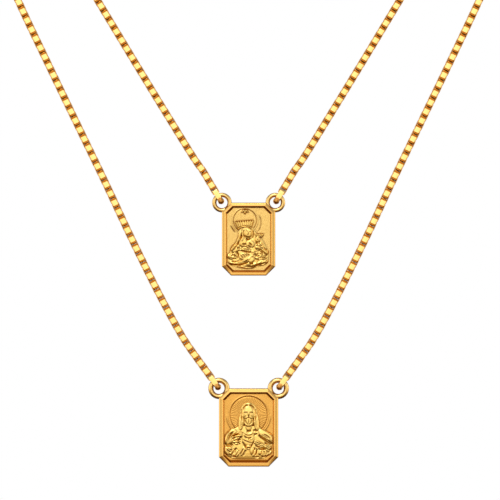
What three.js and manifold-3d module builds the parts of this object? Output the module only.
// Scapular necklace: one loop of box chain that passes through two small cast medals.
// Millimetres. +X is the viewer's right, -Y points to the viewer, +Z is up.
// The loop hangs over two rests. The origin lies midway between them, at the height where the chain rests.

import * as THREE from 'three';
import { mergeVertices } from 'three/addons/utils/BufferGeometryUtils.js';
import Module from 'manifold-3d';

const wasm = await Module();
wasm.setup();

// Box chain: square loops of flat strip, thicker at their ends, each turned a quarter from the last
const chainWidth = 1.2;
const linkPitch = 0.817;
const stripThickness = 0.145;
const endBarThickness = 0.37;
const stripBreadth = 0.86;
const linkPlay = 0.04;
const linkCornerRadius = 0.33;
const holeCornerRadius = 0.08;
const chainEdgeCut = 0.2;
const freeLinks = 2;

// Link that goes round a medal's ear: its foot hangs in the ear, its head holds the first chain link
const endSideThickness = 0.17;
const endFootThickness = 0.8;
const endHeadThickness = 0.37;
const endStripBreadth = 0.84;
const endCornerRadius = 0.42;
const endHoleCornerRadius = 0.25;
const swingPlayInside = 0.3;
const swingPlayOutside = 0.12;
const swingPlayAcross = 0.3;

// How the loop hangs
const turnRadius = 4;
const restSpread = 133;
const frontDrop = 144.35;
const backDrop = 114.21;
const frontLean = 36;
const backLean = 31;
const straightEnd = 1.5;

// Front medal
const frontWidth = 9.6;
const frontHeight = 12.66;
const frontThickness = 1.2;
const frontCornerCut = 1.54;
const frontRimWidth = 0.86;
const frontRecessDepth = 0.36;
const frontReliefRise = 0.42;
const frontEarRadius = 1.31;
const frontEarWire = 0.84;

// Back medal
const backWidth = 8.72;
const backHeight = 11.92;
const backThickness = 1.1;
const backCornerCut = 1.49;
const backRimWidth = 0.82;
const backRecessDepth = 0.34;
const backReliefRise = 0.4;
const backEarRadius = 1.25;
const backEarWire = 0.71;

// How fine the curved forms are
const reliefCell = 0.23;
const reliefSink = 0.3;
const reliefDip = 0.06;
const reliefLeast = 0.02;
const crownBulge = 0.3;
const earSides = 8;
const earSteps = 22;
const haloSides = 6;
const haloSteps = 40;
const cornerSteps = 2;
const frontSteps = 17;
const turnSteps = 8;
const backSteps = 14;

// Chosen points of one side's chain: half width of the loop there, and how far it has dropped
const frontRoute = [
  { half: 8.3, drop: 139.76 },
  { half: 10.39, drop: 136.52 },
  { half: 13.99, drop: 130.04 },
  { half: 18.83, drop: 120.33 },
  { half: 23.39, drop: 110.62 },
  { half: 28.08, drop: 100.91 },
  { half: 32.76, drop: 91.19 },
  { half: 37.35, drop: 81.48 },
  { half: 47.98, drop: 57 },
  { half: 57.8, drop: 33 },
  { half: 64.35, drop: 16 },
  { half: 65.95, drop: 9.5 },
];
const backRoute = [
  { half: 6.74, drop: 110.52 },
  { half: 8.74, drop: 107.25 },
  { half: 12.81, drop: 100.72 },
  { half: 18.79, drop: 90.92 },
  { half: 24.69, drop: 81.12 },
  { half: 39.05, drop: 57 },
  { half: 52.96, drop: 33 },
  { half: 62.6, drop: 16 },
  { half: 65.45, drop: 9.5 },
];

// Rim of a medal from its back edge to the recess: inset as a share of the rim's width, and how far it
// stands back from the crest as a share of the recess depth, or of the thickness for the first two rows
const rimRows = [
  { inset: 0.12, fromBack: 0 },
  { inset: 0, fromBack: 0.1 },
  { inset: 0, fromCrest: 0.62 },
  { inset: 0.07, fromCrest: 0.36 },
  { inset: 0.3, fromCrest: 0.13 },
  { inset: 0.56, fromCrest: 0 },
  { inset: 0.7, fromCrest: 0 },
  { inset: 0.82, fromCrest: 0.2 },
  { inset: 1, fromCrest: 1 },
];

// Front figure, a draped bust: edges of the cloak as shares of the recess width, heights of the relief rise
const frontCloak = [
  { up: 0.02, left: -0.16, right: 0.17, rise: 0.3 },
  { up: -0.02, left: -0.25, right: 0.27, rise: 0.36 },
  { up: -0.07, left: -0.37, right: 0.38, rise: 0.42 },
  { up: -0.13, left: -0.425, right: 0.435, rise: 0.46 },
  { up: -0.22, left: -0.46, right: 0.465, rise: 0.5 },
  { up: -0.39, left: -0.475, right: 0.475, rise: 0.5 },
  { up: -0.51, left: -0.46, right: 0.46, rise: 0.44 },
  { up: -0.59, left: -0.39, right: 0.37, rise: 0.34 },
  { up: -0.63, left: -0.27, right: 0.25, rise: 0.2 },
];
const frontForms = [
  { form: 'hair', across: 0, up: 0.315, wide: 0.168, tall: 0.2, turn: 0, base: 0.2, rise: 0.42 },
  { form: 'left lock', across: -0.155, up: 0.11, wide: 0.07, tall: 0.22, turn: -12, base: 0.2, rise: 0.4 },
  { form: 'right lock', across: 0.16, up: 0.11, wide: 0.07, tall: 0.22, turn: 12, base: 0.2, rise: 0.4 },
  { form: 'face', across: 0, up: 0.28, wide: 0.112, tall: 0.16, turn: 0, base: 0.35, rise: 0.65 },
  { form: 'beard', across: 0, up: 0.12, wide: 0.1, tall: 0.115, turn: 0, base: 0.3, rise: 0.52 },
  { form: 'chest', across: 0, up: -0.18, wide: 0.14, tall: 0.2, turn: 0, base: 0.45, rise: 0.22 },
  { form: 'heart', across: 0, up: -0.36, wide: 0.055, tall: 0.06, turn: 0, base: 0.6, rise: 0.35 },
  { form: 'raised hand', across: -0.2, up: -0.12, wide: 0.13, tall: 0.06, turn: 24, base: 0.5, rise: 0.36 },
  { form: 'high cuff', across: -0.33, up: -0.24, wide: 0.12, tall: 0.09, turn: 48, base: 0.46, rise: 0.3 },
  { form: 'open hand', across: 0.2, up: -0.27, wide: 0.13, tall: 0.055, turn: -34, base: 0.5, rise: 0.36 },
  { form: 'open cuff', across: 0.34, up: -0.38, wide: 0.12, tall: 0.08, turn: -30, base: 0.46, rise: 0.3 },
  { form: 'left sleeve', across: -0.3, up: -0.46, wide: 0.17, tall: 0.1, turn: -14, base: 0.4, rise: 0.3 },
  { form: 'right sleeve', across: 0.28, up: -0.5, wide: 0.17, tall: 0.08, turn: 10, base: 0.4, rise: 0.28 },
];
const frontFolds = [
  { fromAcross: 0.14, fromUp: -0.13, toAcross: 0.45, toUp: -0.34, bow: 0.02, width: 0.035, rise: -0.2 },
  { fromAcross: -0.15, fromUp: -0.03, toAcross: -0.44, toUp: -0.33, bow: -0.05, width: 0.035, rise: -0.18 },
  { fromAcross: -0.12, fromUp: -0.03, toAcross: 0, toUp: -0.11, bow: 0, width: 0.03, rise: -0.2 },
  { fromAcross: 0.12, fromUp: -0.03, toAcross: 0, toUp: -0.11, bow: 0, width: 0.03, rise: -0.2 },
  { fromAcross: -0.08, fromUp: -0.58, toAcross: -0.02, toUp: -0.42, bow: 0, width: 0.03, rise: -0.18 },
  { fromAcross: 0.14, fromUp: -0.58, toAcross: 0.1, toUp: -0.42, bow: 0, width: 0.03, rise: -0.18 },
  { fromAcross: -0.44, fromUp: -0.37, toAcross: -0.2, toUp: -0.36, bow: 0.03, width: 0.03, rise: -0.2 },
];
const frontHalo = { across: 0, up: 0.253, radius: 0.382, wire: 0.012 };

// Back figure, a crowned woman who holds a crowned child
const backCloak = [
  { up: 0.28, left: -0.22, right: 0.1, rise: 0.26 },
  { up: 0.2, left: -0.25, right: 0.14, rise: 0.34 },
  { up: 0.06, left: -0.245, right: 0.3, rise: 0.38 },
  { up: -0.03, left: -0.27, right: 0.34, rise: 0.42 },
  { up: -0.16, left: -0.34, right: 0.42, rise: 0.46 },
  { up: -0.31, left: -0.42, right: 0.455, rise: 0.48 },
  { up: -0.45, left: -0.475, right: 0.47, rise: 0.46 },
  { up: -0.56, left: -0.47, right: 0.44, rise: 0.38 },
  { up: -0.65, left: -0.3, right: 0.18, rise: 0.24 },
];
const backForms = [
  { form: 'veil', across: -0.05, up: 0.16, wide: 0.17, tall: 0.2, turn: -8, base: 0.2, rise: 0.42 },
  { form: 'face', across: -0.02, up: 0.15, wide: 0.09, tall: 0.115, turn: -14, base: 0.35, rise: 0.58 },
  { form: 'breast', across: -0.1, up: -0.09, wide: 0.15, tall: 0.13, turn: -20, base: 0.42, rise: 0.3 },
  { form: 'child head', across: 0.2, up: -0.02, wide: 0.07, tall: 0.075, turn: 10, base: 0.35, rise: 0.55 },
  { form: 'child body', across: 0.25, up: -0.19, wide: 0.13, tall: 0.14, turn: -14, base: 0.4, rise: 0.4 },
  { form: 'arm', across: 0.02, up: -0.24, wide: 0.22, tall: 0.075, turn: -12, base: 0.46, rise: 0.34 },
  { form: 'sleeve', across: -0.27, up: -0.34, wide: 0.16, tall: 0.12, turn: 28, base: 0.42, rise: 0.32 },
  { form: 'lap', across: 0.02, up: -0.42, wide: 0.24, tall: 0.1, turn: 12, base: 0.42, rise: 0.3 },
  { form: 'left cloud', across: -0.26, up: -0.55, wide: 0.2, tall: 0.06, turn: -4, base: 0.3, rise: 0.36 },
  { form: 'right cloud', across: 0.26, up: -0.52, wide: 0.2, tall: 0.08, turn: 18, base: 0.3, rise: 0.36 },
];
const backFolds = [
  { fromAcross: -0.18, fromUp: 0.06, toAcross: -0.4, toUp: -0.3, bow: -0.05, width: 0.035, rise: -0.2 },
  { fromAcross: -0.3, fromUp: -0.2, toAcross: -0.04, toUp: -0.3, bow: 0.03, width: 0.035, rise: -0.2 },
  { fromAcross: -0.36, fromUp: -0.46, toAcross: 0.16, toUp: -0.34, bow: 0.06, width: 0.035, rise: -0.2 },
  { fromAcross: 0.12, fromUp: -0.3, toAcross: 0.44, toUp: -0.36, bow: -0.04, width: 0.035, rise: -0.2 },
];
const backHalo = { across: -0.085, up: 0.424, radius: 0.266, wire: 0.012 };

// Crowns: a flaring band with points along its top edge
const crowns = [
  {
    across: -0.09, foot: 0.235, head: 0.4, footHalf: 0.155, headHalf: 0.225,
    point: 0.05, points: 8, rise: 0.8,
  },
  {
    across: 0.21, foot: 0.035, head: 0.105, footHalf: 0.08, headHalf: 0.125,
    point: 0.03, points: 5, rise: 0.72,
  },
];

const medalGold = new THREE.MeshStandardMaterial({ color: 0xf2b950, roughness: 0.28, metalness: 1 });
const chainGold = new THREE.MeshStandardMaterial({ color: 0xf0bb55, roughness: 0.2, metalness: 1 });

// Turns a closed geometry into a solid that can be joined and cut
function toSolid(geometry) {
  const bare = geometry.index ? geometry.toNonIndexed() : geometry.clone();
  for (const name of Object.keys(bare.attributes)) {
    if (name !== 'position') bare.deleteAttribute(name);
  }
  const merged = mergeVertices(bare, 1e-4);
  return new wasm.Manifold(new wasm.Mesh({
    numProp: 3,
    vertProperties: new Float32Array(merged.attributes.position.array),
    triVerts: new Uint32Array(merged.index.array),
  }));
}

function toGeometry(solid) {
  const mesh = solid.getMesh();
  const geometry = new THREE.BufferGeometry();
  geometry.setAttribute('position', new THREE.BufferAttribute(mesh.vertProperties, 3));
  geometry.setIndex(new THREE.BufferAttribute(mesh.triVerts, 1));
  geometry.computeVertexNormals();
  return geometry;
}

// Corners of a cut-corner rectangle, moved in by inset; its sloping sides stay parallel
function octagon(width, height, cut, inset) {
  const halfWide = width / 2 - inset;
  const halfTall = height / 2 - inset;
  const smallCut = cut - inset * (2 - Math.SQRT2);
  return [
    [halfWide - smallCut, halfTall], [-halfWide + smallCut, halfTall],
    [-halfWide, halfTall - smallCut], [-halfWide, -halfTall + smallCut],
    [-halfWide + smallCut, -halfTall], [halfWide - smallCut, -halfTall],
    [halfWide, -halfTall + smallCut], [halfWide, halfTall - smallCut],
  ];
}

// Closed body through rings of equal corner counts, each ring {corners, depth}
function loft(rings) {
  const count = rings[0].corners.length;
  const positions = [];
  const indices = [];
  for (const ring of rings) {
    for (const [across, up] of ring.corners) positions.push(across, ring.depth, up);
  }
  for (let row = 0; row < rings.length - 1; row += 1) {
    for (let corner = 0; corner < count; corner += 1) {
      const a = row * count + corner;
      const b = row * count + (corner + 1) % count;
      indices.push(a, b, b + count, a, b + count, a + count);
    }
  }
  const last = (rings.length - 1) * count;
  for (let corner = 1; corner < count - 1; corner += 1) {
    indices.push(0, corner + 1, corner);
    indices.push(last, last + corner, last + corner + 1);
  }
  const geometry = new THREE.BufferGeometry();
  geometry.setAttribute('position', new THREE.Float32BufferAttribute(positions, 3));
  geometry.setIndex(indices);
  return geometry;
}

function plate(size) {
  const rings = rimRows.map((row) => {
    const depth = row.fromBack === undefined
      ? -size.thickness / 2 + row.fromCrest * size.recessDepth
      : size.thickness / 2 - row.fromBack * size.thickness;
    return { corners: octagon(size.width, size.height, size.cornerCut, row.inset * size.rimWidth), depth };
  });
  return loft(rings);
}

// Height of a draped mass whose left and right edges run through the rows
function cloakHeight(rows, across, up) {
  if (up > rows[0].up || up < rows[rows.length - 1].up) return 0;
  const next = rows.findIndex((row) => row.up <= up);
  const lower = rows[Math.max(next, 1)];
  const upper = rows[Math.max(next, 1) - 1];
  const share = (upper.up - up) / (upper.up - lower.up);
  const left = THREE.MathUtils.lerp(upper.left, lower.left, share);
  const right = THREE.MathUtils.lerp(upper.right, lower.right, share);
  const rise = THREE.MathUtils.lerp(upper.rise, lower.rise, share);
  const side = (2 * across - left - right) / (right - left);
  return Math.abs(side) < 1 ? rise * Math.sqrt(1 - side ** 4) : 0;
}

// Height of a domed ellipse that stands on a base
function formHeight(row, across, up) {
  const angle = THREE.MathUtils.degToRad(row.turn);
  const dx = across - row.across;
  const dy = up - row.up;
  const along = (dx * Math.cos(angle) + dy * Math.sin(angle)) / row.wide;
  const over = (dy * Math.cos(angle) - dx * Math.sin(angle)) / row.tall;
  const reach = along * along + over * over;
  return reach < 1 ? row.base + row.rise * Math.sqrt(1 - reach) - row.base * reach * reach : 0;
}

// Height of a crown's band, and of the pointed edge above it
function crownHeight(row, across, up) {
  const share = THREE.MathUtils.clamp((up - row.foot) / (row.head - row.foot), 0, 1);
  const half = THREE.MathUtils.lerp(row.footHalf, row.headHalf, share);
  const side = (across - row.across) / half;
  if (Math.abs(side) >= 1 || up < row.foot) return 0;
  const tooth = Math.abs(((side + 1) * row.points / 2) % 1 - 0.5) * 2;
  const top = row.head - row.point * tooth;
  return up < top ? row.rise * (1 - crownBulge * side * side) : 0;
}

// Depth of a fold: a soft trench or ridge along a bowed line
function foldHeight(row, across, up) {
  const dx = row.toAcross - row.fromAcross;
  const dy = row.toUp - row.fromUp;
  const length = Math.hypot(dx, dy);
  const along = ((across - row.fromAcross) * dx + (up - row.fromUp) * dy) / (length * length);
  if (along < 0 || along > 1) return 0;
  const off = ((up - row.fromUp) * dx - (across - row.fromAcross) * dy) / length;
  const away = (off - row.bow * 4 * along * (1 - along)) / row.width;
  return row.rise * Math.sin(Math.PI * along) ** 0.5 * Math.exp(-away * away);
}

// Raised figure on a block that is sunk in the plate
function relief(size, figure) {
  const unit = size.panelWidth;
  const acrossSteps = Math.round(size.panelWidth / reliefCell);
  const upSteps = Math.round(size.panelHeight / reliefCell);
  const block = new THREE.BoxGeometry(
    size.panelWidth, size.panelHeight, reliefSink, acrossSteps, upSteps, 1);
  const place = block.attributes.position;
  for (let i = 0; i < place.count; i += 1) {
    const across = place.getX(i) / unit;
    const up = place.getY(i) / unit;
    if (place.getZ(i) < 0) {
      place.setZ(i, -reliefSink);
      continue;
    }
    const heights = [
      cloakHeight(figure.cloak, across, up),
      ...figure.forms.map((row) => formHeight(row, across, up)),
      ...figure.crowns.map((row) => crownHeight(row, across, up)),
    ];
    const folds = figure.folds.map((row) => foldHeight(row, across, up));
    const height = Math.max(...heights);
    const carved = height > 0 ? height + folds.reduce((sum, fold) => sum + fold, 0) : 0;
    const edge = Math.abs(place.getX(i)) > size.panelWidth / 2 - reliefCell / 2;
    place.setZ(i, carved > reliefLeast && !edge ? carved * size.reliefRise : -reliefDip);
  }
  block.rotateX(Math.PI / 2);
  block.translate(0, -size.thickness / 2 + size.recessDepth, 0);
  return toSolid(block);
}

function halo(size, row) {
  const ring = new THREE.TorusGeometry(row.radius * size.panelWidth, row.wire * size.panelWidth,
    haloSides, haloSteps);
  ring.rotateX(Math.PI / 2);
  ring.translate(row.across * size.panelWidth, -size.thickness / 2 + size.recessDepth,
    row.up * size.panelWidth);
  return toSolid(ring);
}

// Medal with its plate, relief, halo and two ears as one casting, its body's centre at the local origin
function medal(name, size, figure) {
  const full = {
    ...size,
    panelWidth: size.width - 2 * size.rimWidth,
    panelHeight: size.height - 2 * size.rimWidth,
  };
  const body = toSolid(plate(full));
  const panel = loft([
    { corners: octagon(full.width, full.height, full.cornerCut, full.rimWidth), depth: full.thickness / 2 },
    { corners: octagon(full.width, full.height, full.cornerCut, full.rimWidth), depth: -full.thickness },
  ]);
  let solid = body.add(relief(full, figure).intersect(toSolid(panel)));
  solid = solid.add(halo(full, figure.halo));
  for (const side of [-1, 1]) {
    const ear = new THREE.TorusGeometry(size.earRadius, size.earWire / 2, earSides, earSteps);
    ear.rotateX(Math.PI / 2);
    ear.translate(side * size.width / 2, 0, size.height / 2);
    solid = solid.add(toSolid(ear));
  }
  const mesh = new THREE.Mesh(toGeometry(solid), medalGold);
  mesh.name = name;
  return mesh;
}

const frontSize = {
  width: frontWidth, height: frontHeight, thickness: frontThickness, cornerCut: frontCornerCut,
  rimWidth: frontRimWidth, recessDepth: frontRecessDepth, reliefRise: frontReliefRise,
  earRadius: frontEarRadius, earWire: frontEarWire,
};
const backSize = {
  width: backWidth, height: backHeight, thickness: backThickness, cornerCut: backCornerCut,
  rimWidth: backRimWidth, recessDepth: backRecessDepth, reliefRise: backReliefRise,
  earRadius: backEarRadius, earWire: backEarWire,
};

// Square loop of strip with rounded corners: across is local X, along is local Y, breadth is local Z.
// Y is 0 at the middle of its hole; the foot is its bar at -Y, the head its bar at +Y.
function strip(size) {
  const trace = (path, width, low, high, radius) => {
    path.moveTo(width / 2, low + radius);
    path.absarc(width / 2 - radius, high - radius, radius, 0, Math.PI / 2, false);
    path.absarc(-width / 2 + radius, high - radius, radius, Math.PI / 2, Math.PI, false);
    path.absarc(-width / 2 + radius, low + radius, radius, Math.PI, 1.5 * Math.PI, false);
    path.absarc(width / 2 - radius, low + radius, radius, 1.5 * Math.PI, 2 * Math.PI, false);
    return path;
  };
  const half = size.holeLength / 2;
  const outline = trace(new THREE.Shape(), size.width, -half - size.foot, half + size.head,
    size.cornerRadius);
  outline.holes.push(trace(new THREE.Path(), size.width - 2 * size.sides, -half, half, size.holeRadius));
  const geometry = new THREE.ExtrudeGeometry(outline,
    { depth: size.breadth, bevelEnabled: false, curveSegments: cornerSteps });
  geometry.translate(0, 0, -size.breadth / 2);
  return geometry;
}

// One end of a run of chain: the ear it holds, the way it leaves, and where its links lie
function strandEnd(side, size, drop, depth, lean) {
  const angle = THREE.MathUtils.degToRad(lean);
  const away = new THREE.Vector3(side * Math.sin(angle), 0, Math.cos(angle));
  const sideways = new THREE.Vector3(Math.cos(angle), 0, -side * Math.sin(angle));
  const bearing = new THREE.Vector3(side * size.width / 2, depth, -drop)
    .addScaledVector(away, size.earRadius);
  const insideSpace = size.earWire / 2 + swingPlayInside;
  const outsideSpace = size.earWire / 2 + swingPlayOutside;
  const endInner = insideSpace + outsideSpace + endBarThickness + linkPlay;
  const endWidth = size.earWire + 2 * swingPlayAcross + 2 * endSideThickness;
  const linkLength = linkPitch + 2 * endBarThickness + linkPlay;
  const firstCentre = outsideSpace + linkLength / 2;
  const eyeCentre = firstCentre + freeLinks * linkPitch;
  return {
    side, away, sideways, bearing, endInner, endWidth, linkLength, firstCentre, eyeCentre,
    endCentre: endInner / 2 - insideSpace,
    tubeStart: eyeCentre + linkLength / 2 - endBarThickness,
  };
}

const depthAxis = new THREE.Vector3(0, 1, 0);

// Places a link on a strand end at a distance from the ear's wire; odd links lie edge on
function seat(geometry, end, distance, edgeOn) {
  const acrossAxis = edgeOn ? depthAxis.clone() : end.sideways.clone();
  const normal = acrossAxis.clone().cross(end.away);
  geometry.applyMatrix4(new THREE.Matrix4().makeBasis(acrossAxis, end.away, normal)
    .setPosition(end.bearing.clone().addScaledVector(end.away, distance)));
  return geometry;
}

function chainLink(end, place) {
  const geometry = strip({
    width: chainWidth, holeLength: end.linkLength - 2 * endBarThickness, sides: stripThickness,
    foot: endBarThickness, head: endBarThickness, breadth: stripBreadth,
    cornerRadius: linkCornerRadius, holeRadius: holeCornerRadius,
  });
  return seat(geometry, end, end.firstCentre + place * linkPitch, place % 2 === 1);
}

// Route of one side: up the front, over the rest in a half circle, and down the back
class SideRoute extends THREE.Curve {
  constructor(side, frontEnd, backEnd) {
    super();
    this.side = side;
    const turnDrop = turnRadius - chainWidth / 2;
    this.turnCentre = new THREE.Vector3(side * restSpread / 2, 0, -turnDrop);
    this.front = this.spline(frontEnd, frontRoute, -turnRadius);
    this.back = this.spline(backEnd, backRoute, turnRadius);
  }

  spline(end, rows, depth) {
    const start = end.bearing.clone().addScaledVector(end.away, end.tubeStart);
    const points = [start, start.clone().addScaledVector(end.away, straightEnd)];
    for (const row of rows) {
      const point = new THREE.Vector3(this.side * row.half, depth, -row.drop);
      if (point.z > points[1].z + straightEnd) points.push(point);
    }
    points.push(this.turnCentre.clone().setY(depth));
    return new THREE.CatmullRomCurve3(points, false, 'centripetal');
  }

  // The steps are shared out by section, so the tight turn has as many as it needs
  getPoint(share, target = new THREE.Vector3()) {
    const step = share * (frontSteps + turnSteps + backSteps);
    if (step <= frontSteps) return this.front.getPointAt(step / frontSteps, target);
    if (step >= frontSteps + turnSteps) {
      return this.back.getPointAt(Math.max(0, 1 - (step - frontSteps - turnSteps) / backSteps), target);
    }
    const angle = Math.PI * (step - frontSteps) / turnSteps;
    return target.copy(this.turnCentre)
      .add(new THREE.Vector3(0, -turnRadius * Math.cos(angle), turnRadius * Math.sin(angle)));
  }

  getUtoTmapping(share) {
    return share;
  }
}

// Square section with cut edges, which stands for the links along a run
function chainSection() {
  const half = chainWidth / 2;
  const flat = half - chainEdgeCut;
  return new THREE.Shape([
    [half, -flat], [half, flat], [flat, half], [-flat, half],
    [-half, flat], [-half, -flat], [-flat, -half], [flat, -half],
  ].map(([x, y]) => new THREE.Vector2(x, y)));
}

function chainRun(name, frontEnd, backEnd) {
  const route = new SideRoute(frontEnd.side, frontEnd, backEnd);
  const tube = new THREE.ExtrudeGeometry(chainSection(),
    { steps: frontSteps + turnSteps + backSteps, bevelEnabled: false, extrudePath: route });
  let solid = toSolid(tube);
  for (const end of [frontEnd, backEnd]) solid = solid.add(toSolid(chainLink(end, freeLinks)));
  const mesh = new THREE.Mesh(toGeometry(solid), chainGold);
  mesh.name = name;
  return mesh;
}

const necklace = new THREE.Group();

const frontMedal = medal('front_medal', frontSize,
  { cloak: frontCloak, forms: frontForms, folds: frontFolds, halo: frontHalo, crowns: [] });
frontMedal.position.set(0, -turnRadius, -frontDrop - frontHeight / 2);
const backMedal = medal('back_medal', backSize,
  { cloak: backCloak, forms: backForms, folds: backFolds, halo: backHalo, crowns });
backMedal.position.set(0, turnRadius, -backDrop - backHeight / 2);
necklace.add(frontMedal, backMedal);

for (const [sideName, side] of [['left', -1], ['right', 1]]) {
  const ends = {
    front: strandEnd(side, frontSize, frontDrop, -turnRadius, frontLean),
    back: strandEnd(side, backSize, backDrop, turnRadius, backLean),
  };
  necklace.add(chainRun(`chain_${sideName}`, ends.front, ends.back));
  for (const [endName, end] of Object.entries(ends)) {
    const loop = strip({
      width: end.endWidth, holeLength: end.endInner, sides: endSideThickness,
      foot: endFootThickness, head: endHeadThickness, breadth: endStripBreadth,
      cornerRadius: endCornerRadius, holeRadius: endHoleCornerRadius,
    });
    const endLink = new THREE.Mesh(seat(loop, end, end.endCentre, true), chainGold);
    endLink.name = `${endName}_end_link_${sideName}`;
    necklace.add(endLink);
    for (let place = 0; place < freeLinks; place += 1) {
      const link = new THREE.Mesh(chainLink(end, place), chainGold);
      link.name = `${endName}_link_${sideName}_${place + 1}`;
      necklace.add(link);
    }
  }
}

export default necklace;
